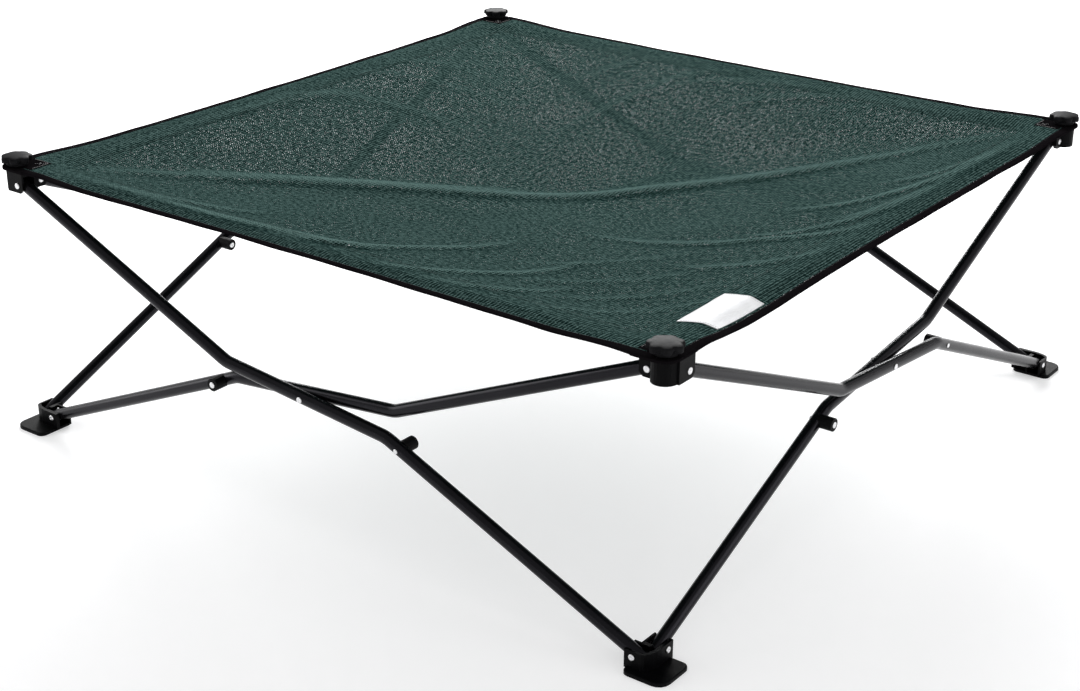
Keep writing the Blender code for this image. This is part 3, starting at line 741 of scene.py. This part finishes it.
def mat_point(x, y, k=None):
    """The place in the air of a flat place of the mat, on the cloth's middle surface."""
    if k is None:
        k, s, n = side_of(x, y)
    else:
        local = side_matrix(-k) @ Vector((x, y, 0))
        s, n = local.x + HALF, -HALF - local.y
    d = -n
    middle = max(0.0, 4 * s * (SPACING - s) / SPACING**2)
    outside = smoothstep(HINGE_N, MAT_REACH - TAPE_WIDTH, n)
    linear = max(0.0, (n - HINGE_N) / (MAT_REACH - HINGE_N))
    bowed = n - EDGE_BOW[k] * middle * linear
    inside = smoothstep(PIN_INSET, 0.040, d)
    z = MAT_Z - sagging(x, y) - edge_droop(k, s) * outside
    z += fold_height(x, y) * inside
    ruffle = noise.noise(Vector((x * 9, y * 9, 2.0))) * 0.0011
    ruffle += noise.noise(Vector((x * 26, y * 26, 5.0))) * 0.0004
    z += ruffle * inside
    from_corner = math.hypot(min(s, SPACING - s), n)
    lift = 1 - smoothstep(CORNER_FLAT, CORNER_BLEND, from_corner)
    z += (MAT_Z - z) * lift
    return side_point(k, s, bowed, z)


def grid_lines():
    """The mat's grid along one axis: even cells inside the hinge lines, finer ones outside."""
    hinge = HALF + HINGE_N
    inner = [-hinge + 2 * hinge * i / INNER_CELLS for i in range(INNER_CELLS + 1)]
    outer = [hinge + (MAT_REACH - HINGE_N) * i / OUTER_CELLS for i in range(1, OUTER_CELLS + 1)]
    return [-v for v in reversed(outer)] + inner + outer


LINES = grid_lines()
FIRST_INNER = OUTER_CELLS
LAST_INNER = OUTER_CELLS + INNER_CELLS


def cloth_patch(cells, k, offset=0.0):
    """A sheet over some of side k's grid cells, as (s, d) index cells or triangles of the front side."""
    bm = bmesh.new()
    layer = bm.loops.layers.uv.new("cloth")
    crest = bm.verts.layers.float.new("crest")
    turn = side_matrix(k)
    made = {}

    def vert(i, j):
        if (i, j) not in made:
            flat = turn @ Vector((LINES[i], LINES[j], 0))
            spot = mat_point(flat.x, flat.y, k)
            made[(i, j)] = (bm.verts.new(spot + Vector((0, 0, offset))), (flat.x, flat.y))
            # Each point keeps its fold height as crest, which the mesh material paints as highlight on fold
            # crests and shade in their dips.
            made[(i, j)][0][crest] = fold_height(flat.x, flat.y) / FULL_CREST
        return made[(i, j)]

    for cell in cells:
        corners = [vert(i, j) for i, j in cell]
        face = bm.faces.new([c[0] for c in corners])
        for loop, corner in zip(face.loops, corners):
            loop[layer].uv = corner[1]
    return bm


def triangle_cells(depth_from, depth_to):
    """Front-side grid cells between two depths, cut along the diagonals."""
    cells = []
    for j in range(depth_from, depth_to):
        left, right = j, len(LINES) - 1 - j
        if left >= right:
            break
        cells.append([(left, j), (left + 1, j), (left + 1, j + 1)])
        for i in range(left + 1, right - 1):
            cells.append([(i, j), (i + 1, j), (i + 1, j + 1), (i, j + 1)])
        cells.append([(right - 1, j), (right, j), (right - 1, j + 1)])
    return cells


def strip_cells(depth_from, depth_to):
    """Front-side grid cells between two depths, outside the hinge line, between the corners."""
    return [
        [(i, j), (i + 1, j), (i + 1, j + 1), (i, j + 1)]
        for j in range(depth_from, depth_to)
        for i in range(FIRST_INNER, LAST_INNER)
    ]


def crumple(piece):
    """Gives the piece its own copy of its mesh."""
    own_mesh(piece)


def thicken(piece, thickness):
    modifier = piece.modifiers.new("two_faces", "SOLIDIFY")
    modifier.thickness = thickness
    modifier.offset = 0.0
    modifier.use_rim = False


# ---------------------------------------------------------------- tape along an edge
TAPE_PROFILE = (
    (TAPE_WIDTH, 0.00050), (0.0117, 0.00085), (0.0085, 0.00078), (0.0055, 0.00085), (0.0020, 0.00080),
    (0.0007, 0.00050), (0.0001, 0.0), (0.0, -0.00055), (0.0003, -0.00100), (0.0008, -0.00125),
    (0.0014, -0.00120), (0.0024, -0.00105), (0.0055, -0.00085), (0.0085, -0.00078),
    (0.0117, -0.00085), (TAPE_WIDTH, -0.00050),
)
CORNER_LIP = 0.0018
CORNER_RUN = 0.0305
CORNER_STEPS = 26
SIDE_STEPS = 160


def tape_ring(bm, place, lip=0.0):
    """One cross-section of the tape; place(inward, height) gives each of its points."""
    return [
        bm.verts.new(place(inward, height - (lip if height < 0 and inward < 0.0012 else 0.0)))
        for inward, height in TAPE_PROFILE
    ]


def finished_tape(bm, rings, lengths):
    """Closes the tape, and gives it UVs in metres: along the tape, and round its cross-section."""
    closed_loft(bm, rings)
    capped(bm, rings)
    layer = bm.loops.layers.uv.new("cloth")
    girth, total = [0.0], 0.0
    for (a, b), (c, d) in zip(TAPE_PROFILE, TAPE_PROFILE[1:]):
        total += math.hypot(c - a, d - b)
        girth.append(total)
    spots = {v: (lengths[i], girth[j]) for i, ring in enumerate(rings) for j, v in enumerate(ring)}
    for face in bm.faces:
        for loop in face.loops:
            loop[layer].uv = spots[loop.vert]
    bmesh.ops.recalc_face_normals(bm, faces=bm.faces)
    return bm


def side_tape(k):
    """The tape along side k, from one corner's fold line to the next."""
    bm = bmesh.new()
    rings, lengths = [], []
    for i in range(SIDE_STEPS + 1):
        s = PIN_INSET + WIDE * i / SIDE_STEPS
        ripple = 0.0010 * noise.noise(Vector((s * 14, k * 9.0, 1.0)))
        slack = ripple * smoothstep(0.03, 0.10, min(s, SPACING - s))

        def place(inward, height, s=s, slack=slack):
            flat = side_point(k, s, MAT_REACH - inward, 0)
            return mat_point(flat.x, flat.y, k) + Vector((0, 0, height + slack * (1 - inward / TAPE_WIDTH)))

        lip = CORNER_LIP * (1 - smoothstep(PIN_INSET, 0.080, min(s, SPACING - s)))
        rings.append(tape_ring(bm, place, lip))
        lengths.append(s)
    return finished_tape(bm, rings, lengths)


def corner_tape(k):
    """The tape round corner k, an arc about the corner's axis with a short straight at each end."""
    bm = bmesh.new()
    rings, lengths = [], []
    length = 0.0
    axis = side_point(k, 0, 0, MAT_Z)
    out_now = side_matrix(k) @ Vector((0, -1, 0))
    out_before = side_matrix(k - 1) @ Vector((0, -1, 0))
    stations = [(along_side(k) * CORNER_RUN * share, out_now) for share in (1.0, 0.5)]
    for i in range(CORNER_STEPS + 1):
        angle = (math.pi / 2) * i / CORNER_STEPS
        stations.append((Vector((0, 0, 0)), out_now * math.cos(angle) + out_before * math.sin(angle)))
    back = -along_side(k - 1)
    stations += [(back * CORNER_RUN * share, out_before) for share in (0.5, 1.0)]
    for shift, out in stations:
        rings.append(
            tape_ring(
                bm,
                lambda inward, height: axis + shift + out * (MAT_REACH - inward) + Vector((0, 0, height)),
                CORNER_LIP,
            )
        )
        lengths.append(length)
        length += 0.0012
    return finished_tape(bm, rings, lengths)


# ---------------------------------------------------------------- corner patch, stitches, tag
PATCH_INNER = 0.0310
PATCH_OUTER = -0.0040


def grid_plate(k, spots_a, spots_b, to_flat, top, bottom):
    """A thin closed plate that lies on the mat; spots are its grid lines, to_flat gives (s, n)."""
    bm = bmesh.new()
    sheets = []
    for height in (top, bottom):
        rows = []
        for a in spots_a:
            row = []
            for b in spots_b:
                s, n = to_flat(a, b)
                flat = side_point(k, s, n, 0)
                row.append(bm.verts.new(mat_point(flat.x, flat.y) + Vector((0, 0, height))))
            rows.append(row)
        sheets.append(rows)
    for rows in sheets:
        for first, second in zip(rows, rows[1:]):
            for i in range(len(first) - 1):
                bm.faces.new((first[i], first[i + 1], second[i + 1], second[i]))
    for upper, lower in (
        (sheets[0][0], sheets[1][0]),
        (sheets[0][-1], sheets[1][-1]),
        ([r[0] for r in sheets[0]], [r[0] for r in sheets[1]]),
        ([r[-1] for r in sheets[0]], [r[-1] for r in sheets[1]]),
    ):
        for i in range(len(upper) - 1):
            bm.faces.new((upper[i], upper[i + 1], lower[i + 1], lower[i]))
    bmesh.ops.recalc_face_normals(bm, faces=bm.faces)
    flat_uv(bm, lambda co: (co.x, co.y))
    return bm


def even(low, high, count):
    return [low + (high - low) * i / count for i in range(count + 1)]


# Along a stitch: its share of the length, its share of the thread's radius, and its lift in radii.
STITCH_SHAPE = ((0.0, 0.35, -0.9), (0.12, 0.8, -0.1), (0.5, 1.0, 0.55), (0.88, 0.8, -0.1), (1.0, 0.35, -0.9))
STITCH_PITCH = 0.0034
STITCH_SHARE = 0.72


def stitch(bm, start, end, radius):
    """One visible length of thread: a low arch with rounded ends that dips into the cloth."""
    direction = (end - start).normalized()
    side = direction.cross(Vector((0, 0, 1))).normalized()
    up = side.cross(direction).normalized()
    rings = []
    for t, size, lift in STITCH_SHAPE:
        centre = start.lerp(end, t) + up * lift * radius
        turns = [2 * math.pi * i / 6 for i in range(6)]
        rings.append([
            bm.verts.new(centre + (side * math.cos(a) + up * math.sin(a)) * radius * size) for a in turns
        ])
    closed_loft(bm, rings)
    capped(bm, rings)


def stitch_line(bm, path, pitch, share, radius):
    """Stitches along a path of points, pitch apart, each covering a share of its pitch."""
    lengths = [0.0]
    for a, b in zip(path, path[1:]):
        lengths.append(lengths[-1] + (b - a).length)
    count = int(lengths[-1] / pitch)

    def at(length):
        for i in range(len(path) - 1):
            if length <= lengths[i + 1]:
                return path[i].lerp(path[i + 1], (length - lengths[i]) / (lengths[i + 1] - lengths[i]))
        return path[-1]

    for i in range(count):
        begin = i * pitch
        stitch(bm, at(begin), at(begin + pitch * share), radius)


def on_mat(k, s, n, height):
    flat = side_point(k, s, n, 0)
    return mat_point(flat.x, flat.y, k) + Vector((0, 0, height))


# ================================================================ mat pieces
HEM_DROP = 0.0011
SEAM_STEPS = 240


def make_mat(green, hem_green, tape, patch_cloth, tag, green_thread, grey_thread, black_thread):
    hem_rows = round((HEM_DEPTH - PIN_INSET) / (LINES[FIRST_INNER + 1] - LINES[FIRST_INNER]))
    for k, side in enumerate(SIDES):
        bracket, body = f"bracket_{CORNERS[k]}", f"mat_{side}"
        sheet = cloth_patch(triangle_cells(FIRST_INNER, LAST_INNER), k)
        panel = finish_mesh(f"mesh_{side}", sheet, [green], None)
        strip = cloth_patch(strip_cells(EDGE_FIRST, OUTER_CELLS), k)
        edge = finish_mesh(f"mesh_edge_{side}", strip, [green], None)
        sheet = cloth_patch(triangle_cells(FIRST_INNER, FIRST_INNER + hem_rows), k, -HEM_DROP)
        hem = finish_mesh(f"hem_{side}", sheet, [hem_green], None)
        strip = cloth_patch(strip_cells(EDGE_FIRST + 1, OUTER_CELLS), k, -HEM_DROP)
        hem_edge = finish_mesh(f"hem_edge_{side}", strip, [hem_green], None)
        for piece in (panel, edge, hem, hem_edge):
            thicken(piece, MESH_THICKNESS)
        binding = finish_mesh(f"binding_{side}", side_tape(k), [tape])
        seam = bmesh.new()
        depth = LINES[FIRST_INNER + hem_rows] + HALF - 0.0020
        spots = even(depth + 0.006, SPACING - depth - 0.006, SEAM_STEPS)
        path = [on_mat(k, s, -depth, 0.00045) for s in spots]
        stitch_line(seam, path, STITCH_PITCH, STITCH_SHARE, 0.00028)
        hem_stitches = finish_mesh(f"hem_stitches_{side}", seam, [green_thread])
        seam = bmesh.new()
        spots = even(0.034, SPACING - 0.034, SEAM_STEPS)
        path = [on_mat(k, s, MAT_REACH - TAPE_WIDTH + 0.0016, 0.00075) for s in spots]
        stitch_line(seam, path, STITCH_PITCH, STITCH_SHARE, 0.00026)
        tape_stitches = finish_mesh(f"binding_stitches_{side}", seam, [black_thread])

        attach(panel, body)
        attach(hem, body)
        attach(hem_stitches, body)
        for piece in (edge, hem_edge, binding, tape_stitches):
            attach(piece, bracket)
        for piece in (panel, edge, hem, hem_edge, binding, hem_stitches, tape_stitches):
            crumple(piece)
        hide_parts(f"mat_panel_{side}")

    for k, corner in enumerate(CORNERS):
        spots = even(PATCH_OUTER, PATCH_INNER, 14)
        patch = finish_mesh(
            f"corner_patch_{corner}",
            grid_plate(k, spots, spots, lambda a, b: (a, -b), 0.00065, -0.00065), [patch_cloth]
        )
        corner_binding = finish_mesh(f"corner_binding_{corner}", corner_tape(k), [tape])
        sewn = bmesh.new()
        inset = PATCH_INNER - 0.0022
        start = 0.0005
        runs = [((inset, start), (inset, inset)), ((start, inset), (inset, inset))]
        runs += [((inset - 0.0045, 0.0165), (0.0165, inset - 0.0045)), ((0.0155, 0.0155), (inset, inset))]
        for (a0, b0), (a1, b1) in runs:
            path = [on_mat(k, a0 + (a1 - a0) * t, -(b0 + (b1 - b0) * t), 0.00070) for t in even(0, 1, 24)]
            stitch_line(sewn, path, 0.0026, 0.74, 0.00030)
        stitches = finish_mesh(f"corner_stitches_{corner}", sewn, [grey_thread])
        for piece in (patch, corner_binding, stitches):
            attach(piece, f"bracket_{corner}")

    make_tag(tag, grey_thread)


TAG_S = (0.095, 0.190)
TAG_N = (0.0030, -0.0480)
TAG_STITCH_PITCH = 0.0030


def make_tag(tag, sewing):
    """A plain pale tag sewn against the right side's binding, parted at the hinge line."""
    k = 1
    rim = 0.0022
    parts = (
        ("edge", (TAG_N[0], HINGE_N), f"bracket_{CORNERS[k]}"),
        ("panel", (HINGE_N, TAG_N[1]), "mat_right"),
    )
    for label, (outer, inner), body in parts:
        spots_a, spots_b = even(*TAG_S, 28), even(outer, inner, 10)
        plate = grid_plate(k, spots_a, spots_b, lambda a, b: (a, b), 0.00100, 0.00045)
        piece = finish_mesh(f"plain_tag_{label}", plate, [tag])
        sewn = bmesh.new()
        runs = [[(s, outer), (s, inner)] for s in (TAG_S[0] + rim, TAG_S[1] - rim)]
        if label == "panel":
            runs = [[(s, n if n == outer else inner + rim) for s, n in run] for run in runs]
            runs.append([(TAG_S[0] + rim, inner + rim), (TAG_S[1] - rim, inner + rim)])
        for (s0, n0), (s1, n1) in runs:
            path = [on_mat(k, s0 + (s1 - s0) * t, n0 + (n1 - n0) * t, 0.00105) for t in even(0, 1, 30)]
            stitch_line(sewn, path, TAG_STITCH_PITCH, STITCH_SHARE, 0.00024)
        stitches = finish_mesh(f"plain_tag_stitches_{label}", sewn, [sewing])
        for part in (piece, stitches):
            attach(part, body)
            crumple(part)


# ================================================================ knobs
KNOB_RADIUS = 0.0204
KNOB_WAIST = 0.0160
KNOB_HEIGHT = 0.0135
KNOB_HUB_RADIUS = 0.0138
KNOB_HUB_HEIGHT = 0.0042
KNOB_HUB_EDGE = 0.0004
KNOB_ARCH = 0.0026
KNOB_LOBES = 7


def make_knobs(material):
    """Star caps over a narrower hub: arched finger scoops in the rim, and a softly domed top."""
    steps = KNOB_LOBES * 18
    hub = (
        (KNOB_HUB_RADIUS - KNOB_HUB_EDGE, 0.0),
        (KNOB_HUB_RADIUS, KNOB_HUB_EDGE),
        (KNOB_HUB_RADIUS, KNOB_HUB_HEIGHT),
    )
    # Each level's share of the outline's radius, its height, how deep the scoops cut in, and how far
    # the arches lift it.
    levels = (
        (0.66, 0.0046, 0.0, 0.0), (0.93, 0.0046, 1.0, 0.7), (0.985, 0.0049, 1.0, 1.0),
        (1.000, 0.0056, 1.0, 1.0), (1.000, 0.0088, 0.95, 0.15),
        (0.995, 0.0101, 0.85, 0.0), (0.975, 0.0110, 0.70, 0.0),
        (0.935, 0.0116, 0.50, 0.0), (0.860, 0.0121, 0.28, 0.0), (0.700, 0.0127, 0.10, 0.0),
        (0.450, 0.0132, 0.0, 0.0), (0.200, 0.0134, 0.0, 0.0),
    )
    for corner in CORNERS:
        low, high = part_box(f"knob_{corner}")
        centre = (low + high) / 2
        base = Vector((centre.x, centre.y, high.z - KNOB_HEIGHT))
        bm = bmesh.new()
        rings = []
        for radius, height in hub:
            rings.append([
                bm.verts.new(base + Vector((radius * math.cos(a), radius * math.sin(a), height)))
                for a in (2 * math.pi * i / steps for i in range(steps))
            ])
        for share, height, cut_in, lift in levels:
            ring = []
            for i in range(steps):
                angle = 2 * math.pi * i / steps
                scoop = (0.5 - 0.5 * math.cos(KNOB_LOBES * angle)) ** 1.8
                radius = share * (KNOB_RADIUS - cut_in * scoop * (KNOB_RADIUS - KNOB_WAIST))
                level = height + lift * scoop * KNOB_ARCH
                spot = Vector((radius * math.cos(angle), radius * math.sin(angle), level))
                ring.append(bm.verts.new(base + spot))
            rings.append(ring)
        closed_loft(bm, rings)
        bm.faces.new(list(reversed(rings[0])))
        top = bm.verts.new(base + Vector((0, 0, KNOB_HEIGHT)))
        for i in range(steps):
            bm.faces.new((top, rings[-1][i], rings[-1][(i + 1) % steps]))
        bmesh.ops.recalc_face_normals(bm, faces=bm.faces)
        piece = finish_mesh(f"knob_cap_{corner}", bm, [material], 48)
        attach(piece, f"knob_{corner}")
        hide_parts(f"knob_{corner}")


# ================================================================ carried-over CAD nodes
def dress_cad_node(name, material, bevel):
    """Gives a CAD node its material and small rounded edges, without touching its mesh's points."""
    node = frame["nodes"][name]
    node.data.materials.clear()
    node.data.materials.append(material)
    modifier = node.modifiers.new("rounded_edges", "BEVEL")
    modifier.width = bevel
    modifier.segments = 2
    modifier.limit_method = "ANGLE"
    modifier.angle_limit = math.radians(35)
    modifier.harden_normals = True


def dress_cad_nodes(plastic, rubber):
    for corner in CORNERS:
        dress_cad_node(f"bracket_{corner}", plastic, 0.0005)
        dress_cad_node(f"foot_{corner}", plastic, 0.0005)
    for side in SIDES:
        for layer in LAYERS:
            dress_cad_node(f"bumper_{side}_{layer}", rubber, 0.0008)


# ================================================================ studio
CAMERA_AZIMUTH = 36.826
CAMERA_ELEVATION = 23.431
CAMERA_ROLL = 0.233
CAMERA_PLACE = (1.4521, -1.9809, 1.1422)
CAMERA_LENS = 63.794
STUDIO_RADIUS = 13.0
STUDIO_COVE = 2.0
STUDIO_WALL = 3.6
STUDIO_STEPS = 12
STUDIO_SIDES = 96


def make_camera():
    azimuth, elevation = math.radians(CAMERA_AZIMUTH), math.radians(CAMERA_ELEVATION)
    right = Vector((math.cos(azimuth), math.sin(azimuth), 0))
    back = Vector((
        math.sin(azimuth) * math.cos(elevation), -math.cos(azimuth) * math.cos(elevation), math.sin(elevation)
    ))
    up = back.cross(right)
    roll = math.radians(CAMERA_ROLL)
    right, up = right * math.cos(roll) + up * math.sin(roll), up * math.cos(roll) - right * math.sin(roll)
    data = bpy.data.cameras.new("studio_camera")
    data.sensor_width = 36.0
    data.lens = CAMERA_LENS
    data.clip_start, data.clip_end = 0.05, 60.0
    camera = bpy.data.objects.new("studio_camera", data)
    turn = Matrix((right, up, back)).transposed().to_4x4()
    camera.matrix_world = Matrix.Translation(CAMERA_PLACE) @ turn
    bpy.context.scene.collection.objects.link(camera)
    bpy.context.scene.camera = camera


def area_light(name, place, target, size, power):
    data = bpy.data.lights.new(name, "AREA")
    data.shape = "RECTANGLE"
    data.size, data.size_y = size
    data.energy = power
    light = bpy.data.objects.new(name, data)
    light.location = place
    direction = Vector(target) - Vector(place)
    light.rotation_euler = direction.to_track_quat("-Z", "Y").to_euler()
    bpy.context.scene.collection.objects.link(light)


def studio_shell():
    """A round floor whose rim curves up into a low wall, so that no view shows an edge."""
    bm = bmesh.new()
    profile = [(STUDIO_RADIUS * 0.5, 0), (STUDIO_RADIUS * 0.75, 0)]
    for i in range(STUDIO_STEPS + 1):
        turn = math.pi / 2 * i / STUDIO_STEPS
        radius = STUDIO_RADIUS - STUDIO_COVE * (1 - math.sin(turn))
        profile.append((radius, STUDIO_COVE * (1 - math.cos(turn))))
    profile.append((STUDIO_RADIUS, STUDIO_WALL))
    rings = []
    for radius, height in profile:
        turns = [2 * math.pi * k / STUDIO_SIDES for k in range(STUDIO_SIDES)]
        rings.append([bm.verts.new((radius * math.cos(a), radius * math.sin(a), height)) for a in turns])
    closed_loft(bm, rings)
    bm.faces.new(rings[0])
    bmesh.ops.recalc_face_normals(bm, faces=bm.faces)
    return bm


def make_studio():
    n = Nodes("pale_studio_floor")
    grain = n.noise(n.place(), 40, 2.0)
    n.set(Roughness=0.85, Specular_IOR_Level=0.15, Emission_Color=(1.0, 1.0, 1.0), Emission_Strength=0.45)
    n.out(n.ramp(grain, (0.3, (0.690, 0.690, 0.697)), (0.7, (0.710, 0.710, 0.717))))
    floor = finish_mesh("studio_floor", studio_shell(), [n.material])
    floor.location = (0, 0, -0.0002)

    world = bpy.data.worlds.new("studio_world")
    world.use_nodes = True
    background = world.node_tree.nodes["Background"]
    background.inputs["Color"].default_value = (1.0, 1.0, 1.0, 1.0)
    background.inputs["Strength"].default_value = 0.52
    bpy.context.scene.world = world
    area_light("behind", (-2.0, 2.8, 1.9), (0, 0, 0.3), (2.8, 1.6), 285)
    area_light("left", (-3.2, -1.4, 1.5), (0, 0, 0.2), (1.6, 2.2), 28)
    area_light("right", (3.4, 0.8, 1.5), (0, 0, 0.2), (1.6, 2.2), 18)
    scene = bpy.context.scene
    scene.view_settings.view_transform = "Standard"
    scene.view_settings.look = "None"


make_camera()
make_studio()
make_tubes(powder_coat())
make_rivets(bright_rivet())
make_knobs(knob_plastic())
dress_cad_nodes(moulded_plastic(), bumper_plastic())
make_mat(
    green=knitted_mesh("green_knitted_mesh", 0.031, PANEL_GREENS),
    hem_green=knitted_mesh("green_hem_mesh", 0.0, HEM_GREENS_WITH_PAINTED_SHEEN),
    tape=woven_tape("black_binding_tape", (0.0035, 0.0030, 0.0036), (0.0095, 0.0082, 0.0094)),
    patch_cloth=woven_tape("black_patch_cloth", (0.0032, 0.0029, 0.0034), (0.0085, 0.0076, 0.0086), 0.0016),
    tag=label_cloth(),
    green_thread=thread("green_thread", (0.030, 0.080, 0.068)),
    grey_thread=thread("pale_grey_thread", (0.42, 0.42, 0.42)),
    black_thread=thread("black_thread", (0.020, 0.020, 0.022)),
)
